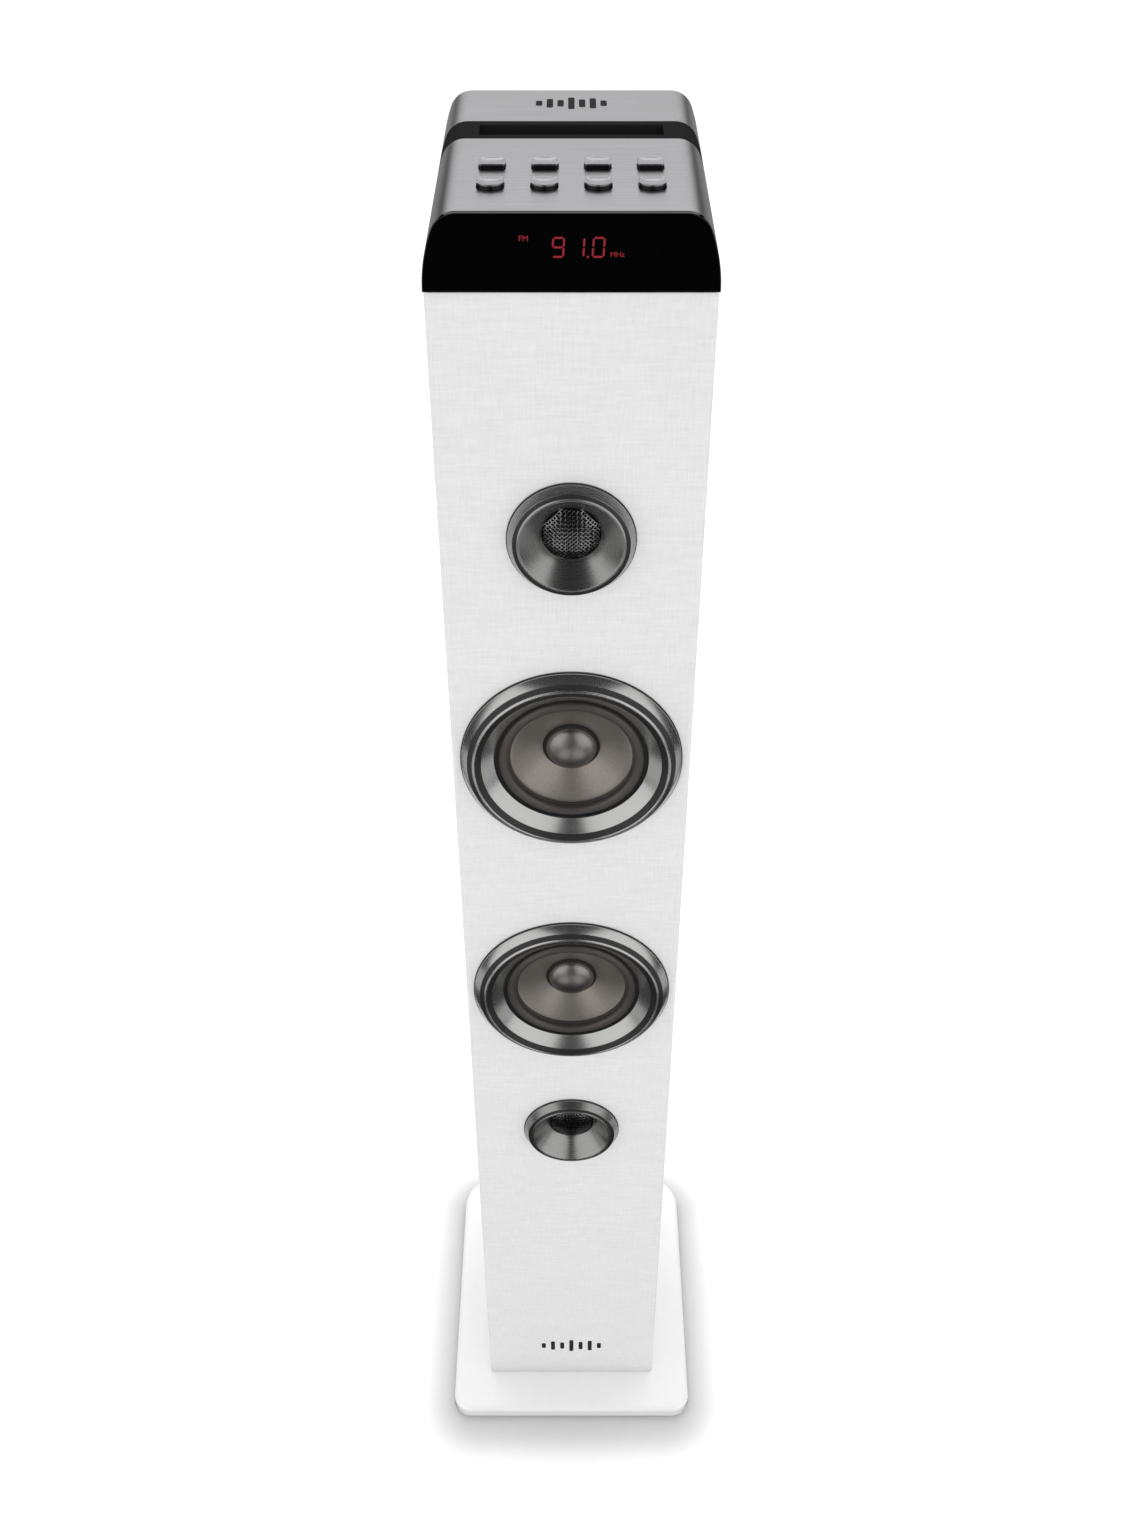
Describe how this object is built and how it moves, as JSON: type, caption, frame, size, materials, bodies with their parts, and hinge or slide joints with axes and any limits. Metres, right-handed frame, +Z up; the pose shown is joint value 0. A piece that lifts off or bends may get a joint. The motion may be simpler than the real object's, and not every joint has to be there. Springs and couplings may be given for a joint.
{
  "type": "column pa system",
  "caption": "Slim floor-standing column loudspeaker on a flared base plate, with woofers, horn tweeters and a head with buttons, display and device slot.",
  "frame": {"origin": "on the floor, under the middle of the base plate", "axes": "+Z up, the drivers and the display face -Y, +X to the right of someone who faces the column"},
  "size_m": [0.216, 0.256, 1.1181],
  "materials": {
    "cabinet_vinyl": "white linen-grain vinyl wrap",
    "base_gloss": "high gloss white",
    "board": "raw fibreboard",
    "trim_metal": "turned, satin",
    "horn_metal": "turned, satin",
    "mesh_metal": "black wire mesh",
    "pressed_steel": "black paint",
    "ferrite": "plated yoke round grey ferrite",
    "paper_cone": "coated paper pulp",
    "gloss_cap": "gloss",
    "surround_rubber": "matt",
    "copper_coil": "enamelled wire",
    "spider_cloth": "impregnated cloth",
    "silk_dome": "coated silk",
    "brushed_silver": "brushed across",
    "window_gloss": "high gloss",
    "cradle_black": "satin moulded",
    "display_red": "lit segments behind a red filter",
    "circuit_green": "solder mask",
    "steel_screw": "zinc plated",
    "button_silver": "dished, satin",
    "foot_rubber": "matt",
    "panel_black": "fine moulded texture"
  },
  "bodies": {
    "column": {"base_plate": "base_gloss", "foot_1": "foot_rubber", "base_screw_1": "steel_screw", "foot_2": "foot_rubber", "base_screw_2": "steel_screw", "foot_3": "foot_rubber", "base_screw_3": "steel_screw", "foot_4": "foot_rubber", "base_screw_4": "steel_screw", "front_baffle": "cabinet_vinyl", "back_panel": "cabinet_vinyl", "left_side_panel": "cabinet_vinyl", "right_side_panel": "cabinet_vinyl", "bottom_board": "board", "top_board": "board", "shelf_brace": "board", "woofer_upper_trim_ring": "trim_metal", "woofer_upper_surround": "surround_rubber", "woofer_upper_basket": "pressed_steel", "woofer_upper_magnet": "ferrite", "woofer_upper_spider": "spider_cloth", "woofer_lower_trim_ring": "trim_metal", "woofer_lower_surround": "surround_rubber", "woofer_lower_basket": "pressed_steel", "woofer_lower_magnet": "ferrite", "woofer_lower_spider": "spider_cloth", "tweeter_upper_horn": "horn_metal", "tweeter_upper_mesh_dome": "mesh_metal", "tweeter_upper_magnet": "ferrite", "tweeter_lower_horn": "horn_metal", "tweeter_lower_mesh_dome": "mesh_metal", "tweeter_lower_magnet": "ferrite", "display_window": "window_gloss", "front_shell": "brushed_silver", "rear_shell": "brushed_silver", "device_cradle": "cradle_black", "display_module": "display_red", "control_board": "circuit_green", "rear_panel": "panel_black", "mains_inlet": "panel_black", "audio_input_sockets": "panel_black", "amplifier_board": "circuit_green", "power_transformer": "ferrite"},
    "woofer_upper_cone_body": {"woofer_upper_cone": "paper_cone", "woofer_upper_dust_cap": "gloss_cap", "woofer_upper_voice_coil": "copper_coil"},
    "woofer_lower_cone_body": {"woofer_lower_cone": "paper_cone", "woofer_lower_dust_cap": "gloss_cap", "woofer_lower_voice_coil": "copper_coil"},
    "tweeter_upper_dome_body": {"tweeter_upper_dome": "silk_dome"},
    "tweeter_lower_dome_body": {"tweeter_lower_dome": "silk_dome"},
    "button_front_1_body": {"button_front_1": "button_silver"},
    "button_front_2_body": {"button_front_2": "button_silver"},
    "button_front_3_body": {"button_front_3": "button_silver"},
    "button_front_4_body": {"button_front_4": "button_silver"},
    "button_rear_1_body": {"button_rear_1": "button_silver"},
    "button_rear_2_body": {"button_rear_2": "button_silver"},
    "button_rear_3_body": {"button_rear_3": "button_silver"},
    "button_rear_4_body": {"button_rear_4": "button_silver"},
    "power_rocker_body": {"power_rocker": "panel_black"}
  },
  "joints": [
    {"name": "woofer_upper_excursion", "type": "slide", "parent": "column", "child": "woofer_upper_cone_body", "axis": [0, -1, 0], "range_m": [-0.0025, 0.0025], "stiffness_N_per_m": 1200, "deforming": ["woofer_upper_surround", "woofer_upper_spider"]},
    {"name": "woofer_lower_excursion", "type": "slide", "parent": "column", "child": "woofer_lower_cone_body", "axis": [0, -1, 0], "range_m": [-0.0025, 0.0025], "stiffness_N_per_m": 1200, "deforming": ["woofer_lower_surround", "woofer_lower_spider"]},
    {"name": "tweeter_upper_excursion", "type": "slide", "parent": "column", "child": "tweeter_upper_dome_body", "axis": [0, -1, 0], "range_m": [-0.0003, 0.0003], "stiffness_N_per_m": 800},
    {"name": "tweeter_lower_excursion", "type": "slide", "parent": "column", "child": "tweeter_lower_dome_body", "axis": [0, -1, 0], "range_m": [-0.0003, 0.0003], "stiffness_N_per_m": 800},
    {"name": "button_front_1_press", "type": "slide", "parent": "column", "child": "button_front_1_body", "axis": [0, 0, -1], "range_m": [0, 0.0008], "stiffness_N_per_m": 500, "springref_m": -0.0012},
    {"name": "button_front_2_press", "type": "slide", "parent": "column", "child": "button_front_2_body", "axis": [0, 0, -1], "range_m": [0, 0.0008], "stiffness_N_per_m": 500, "springref_m": -0.0012},
    {"name": "button_front_3_press", "type": "slide", "parent": "column", "child": "button_front_3_body", "axis": [0, 0, -1], "range_m": [0, 0.0008], "stiffness_N_per_m": 500, "springref_m": -0.0012},
    {"name": "button_front_4_press", "type": "slide", "parent": "column", "child": "button_front_4_body", "axis": [0, 0, -1], "range_m": [0, 0.0008], "stiffness_N_per_m": 500, "springref_m": -0.0012},
    {"name": "button_rear_1_press", "type": "slide", "parent": "column", "child": "button_rear_1_body", "axis": [0, 0, -1], "range_m": [0, 0.0008], "stiffness_N_per_m": 500, "springref_m": -0.0012},
    {"name": "button_rear_2_press", "type": "slide", "parent": "column", "child": "button_rear_2_body", "axis": [0, 0, -1], "range_m": [0, 0.0008], "stiffness_N_per_m": 500, "springref_m": -0.0012},
    {"name": "button_rear_3_press", "type": "slide", "parent": "column", "child": "button_rear_3_body", "axis": [0, 0, -1], "range_m": [0, 0.0008], "stiffness_N_per_m": 500, "springref_m": -0.0012},
    {"name": "button_rear_4_press", "type": "slide", "parent": "column", "child": "button_rear_4_body", "axis": [0, 0, -1], "range_m": [0, 0.0008], "stiffness_N_per_m": 500, "springref_m": -0.0012},
    {"name": "power_rocker_tip", "type": "hinge", "parent": "column", "child": "power_rocker_body", "pos_m": [0.024, 0.091, 0.132], "axis": [1, 0, 0], "range_deg": [-14, 0]}
  ]
}
